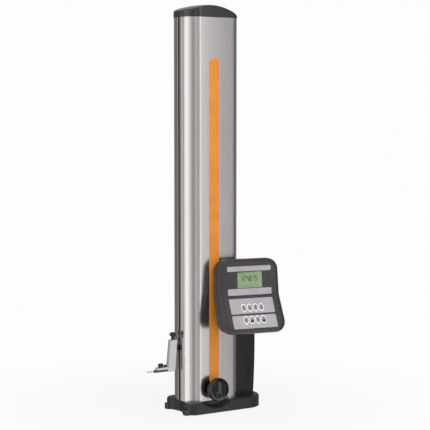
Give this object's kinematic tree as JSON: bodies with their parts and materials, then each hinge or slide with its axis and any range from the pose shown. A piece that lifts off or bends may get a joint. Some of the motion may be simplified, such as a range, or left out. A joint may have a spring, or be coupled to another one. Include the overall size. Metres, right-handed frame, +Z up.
{
  "type": "height gauge",
  "caption": "Column height gauge on a cast base, with a probe on a balanced carriage, a hand wheel and a swivelling display panel on a handle post.",
  "frame": {"origin": "on the column's axis, on the plane of the three ground pads that the base stands on", "axes": "+Z up along the column, -X towards the probe, +X towards the handle post, -Y towards the operator's side with the hand wheel and the panel"},
  "size_m": [0.3162, 0.2184, 1],
  "materials": {
    "base_iron": "satin black stove enamel on a fine casting",
    "ground_steel": "fine ground",
    "dark_steel": "blackened",
    "screw_black": "black oxide",
    "clear_glass": "clear with fine graduation",
    "bare_aluminium": "machined",
    "cover_steel": "vertical brushed satin",
    "strip_grey": "dark satin anodised look",
    "stripe_orange": "satin printed foil",
    "cap_charcoal": "fine moulded texture",
    "bush_bronze": "sintered bronze",
    "belt_steel": "thin steel band",
    "post_black": "fine moulded texture",
    "switch_plastic": "smooth",
    "battery_wrap": "shrink wrap",
    "pad_polymer": "bearing polymer",
    "bracket_silver": "satin",
    "knob_black": "smooth",
    "wheel_black": "polished",
    "weight_steel": "plain turned",
    "lever_steel": "nickel",
    "button_black": "satin",
    "panel_charcoal": "fine moulded texture",
    "display_glass": "clear window",
    "display_green": "reflective liquid crystal cell",
    "trim_grey": "satin light grey film",
    "mat_rubber": "moulded",
    "board_green": "solder mask",
    "key_white": "white rim, grey centre"
  },
  "bodies": {
    "stand": {"base": "base_iron", "base_pads": "dark_steel", "column_flange": "dark_steel", "column_screws": "screw_black", "guide_column": "ground_steel", "glass_scale": "clear_glass", "pulley_bracket": "bare_aluminium", "upper_axle": "ground_steel", "column_cover": "cover_steel", "slot_strips": "strip_grey", "accent_stripe": "stripe_orange", "top_cap": "cap_charcoal", "bearing_blocks": "bare_aluminium", "shaft_bushes": "bush_bronze", "drive_belt": "belt_steel", "post_shell_near": "post_black", "post_shell_far": "post_black", "post_screws": "screw_black", "button_switch": "switch_plastic", "battery_pack": "battery_wrap", "air_pump": "switch_plastic", "swivel_pin": "dark_steel"},
    "carriage": {"carriage_frame": "bare_aluminium", "guide_pads": "pad_polymer", "reading_head": "switch_plastic", "belt_clamp": "bare_aluminium", "neck_blade": "dark_steel", "neck_pin": "ground_steel", "probe_bracket": "bracket_silver", "probe_foot": "bracket_silver", "stylus_holder": "dark_steel", "stylus": "ground_steel", "foot_screw": "screw_black"},
    "probe_knob": {"probe_knob": "knob_black"},
    "stylus_knob": {"stylus_knob": "knob_black"},
    "handwheel": {"handwheel": "wheel_black", "wheel_shaft": "ground_steel", "lower_pulley": "bare_aluminium"},
    "upper_pulley": {"upper_pulley": "bare_aluminium"},
    "counterweight": {"counterweight": "weight_steel"},
    "lock_lever": {"lock_lever": "lever_steel"},
    "air_button": {"air_button": "button_black"},
    "swivel": {"swivel_arm": "post_black", "tilt_pin": "ground_steel"},
    "panel": {"panel_shell_front": "panel_charcoal", "panel_shell_rear": "panel_charcoal", "panel_screws": "screw_black", "display_window": "display_glass", "display_module": "display_green", "trim_plates": "trim_grey", "key_mat": "mat_rubber", "circuit_board": "board_green"},
    "key_1": {"key_1": "key_white"},
    "key_2": {"key_2": "key_white"},
    "key_3": {"key_3": "key_white"},
    "key_4": {"key_4": "key_white"},
    "key_5": {"key_5": "key_white"},
    "key_6": {"key_6": "key_white"},
    "key_7": {"key_7": "key_white"},
    "key_8": {"key_8": "key_white"}
  },
  "joints": [
    {"name": "carriage_slide", "type": "slide", "parent": "stand", "child": "carriage", "axis": [0, 0, 1], "range_m": [-0.1, 0.615]},
    {"name": "counterweight_slide", "type": "slide", "parent": "stand", "child": "counterweight", "axis": [0, 0, 1], "range_m": [-0.615, 0.1]},
    {"name": "handwheel_spin", "type": "hinge", "parent": "stand", "child": "handwheel", "pos_m": [-0.002, 0, 0.059], "axis": [0, 1, 0], "range_deg": [-212, 1294]},
    {"name": "upper_pulley_spin", "type": "hinge", "parent": "stand", "child": "upper_pulley", "pos_m": [-0.002, 0, 0.931], "axis": [0, 1, 0], "range_deg": [-212, 1294]},
    {"name": "lock_lever_turn", "type": "hinge", "parent": "stand", "child": "lock_lever", "pos_m": [0.02, -0.047, 0.042], "axis": [0, 1, 0], "range_deg": [-45, 2]},
    {"name": "probe_knob_turn", "type": "hinge", "parent": "carriage", "child": "probe_knob", "pos_m": [-0.0915, 0, 0.19], "axis": [0, 0, 1], "range_deg": [0, 270]},
    {"name": "stylus_knob_turn", "type": "hinge", "parent": "carriage", "child": "stylus_knob", "pos_m": [-0.126, 0, 0.12], "axis": [0, 0, 1], "range_deg": [0, 270]},
    {"name": "air_button_push", "type": "slide", "parent": "stand", "child": "air_button", "axis": [0, 1, 0], "range_m": [0, 0.002], "stiffness_N_per_m": 600},
    {"name": "panel_swivel", "type": "hinge", "parent": "stand", "child": "swivel", "pos_m": [0.104, 0, 0.306], "axis": [0, 0, 1], "range_deg": [-1.5, 100]},
    {"name": "panel_tilt", "type": "hinge", "parent": "swivel", "child": "panel", "pos_m": [0.09415, -0.06222, 0.3063], "axis": [0.9877, -0.1564, 0], "range_deg": [-3, 15]},
    {"name": "key_1_press", "type": "slide", "parent": "panel", "child": "key_1", "axis": [0.1394, 0.88, -0.454], "range_m": [0, 0.0012], "stiffness_N_per_m": 400},
    {"name": "key_2_press", "type": "slide", "parent": "panel", "child": "key_2", "axis": [0.1394, 0.88, -0.454], "range_m": [0, 0.0012], "stiffness_N_per_m": 400},
    {"name": "key_3_press", "type": "slide", "parent": "panel", "child": "key_3", "axis": [0.1394, 0.88, -0.454], "range_m": [0, 0.0012], "stiffness_N_per_m": 400},
    {"name": "key_4_press", "type": "slide", "parent": "panel", "child": "key_4", "axis": [0.1394, 0.88, -0.454], "range_m": [0, 0.0012], "stiffness_N_per_m": 400},
    {"name": "key_5_press", "type": "slide", "parent": "panel", "child": "key_5", "axis": [0.1394, 0.88, -0.454], "range_m": [0, 0.0012], "stiffness_N_per_m": 400},
    {"name": "key_6_press", "type": "slide", "parent": "panel", "child": "key_6", "axis": [0.1394, 0.88, -0.454], "range_m": [0, 0.0012], "stiffness_N_per_m": 400},
    {"name": "key_7_press", "type": "slide", "parent": "panel", "child": "key_7", "axis": [0.1394, 0.88, -0.454], "range_m": [0, 0.0012], "stiffness_N_per_m": 400},
    {"name": "key_8_press", "type": "slide", "parent": "panel", "child": "key_8", "axis": [0.1394, 0.88, -0.454], "range_m": [0, 0.0012], "stiffness_N_per_m": 400}
  ],
  "couplings": [
    {"joint": "counterweight_slide", "follows": "carriage_slide", "ratio": -1},
    {"joint": "handwheel_spin", "follows": "carriage_slide", "rad_per_m": 36.63},
    {"joint": "upper_pulley_spin", "follows": "carriage_slide", "rad_per_m": 36.63}
  ]
}
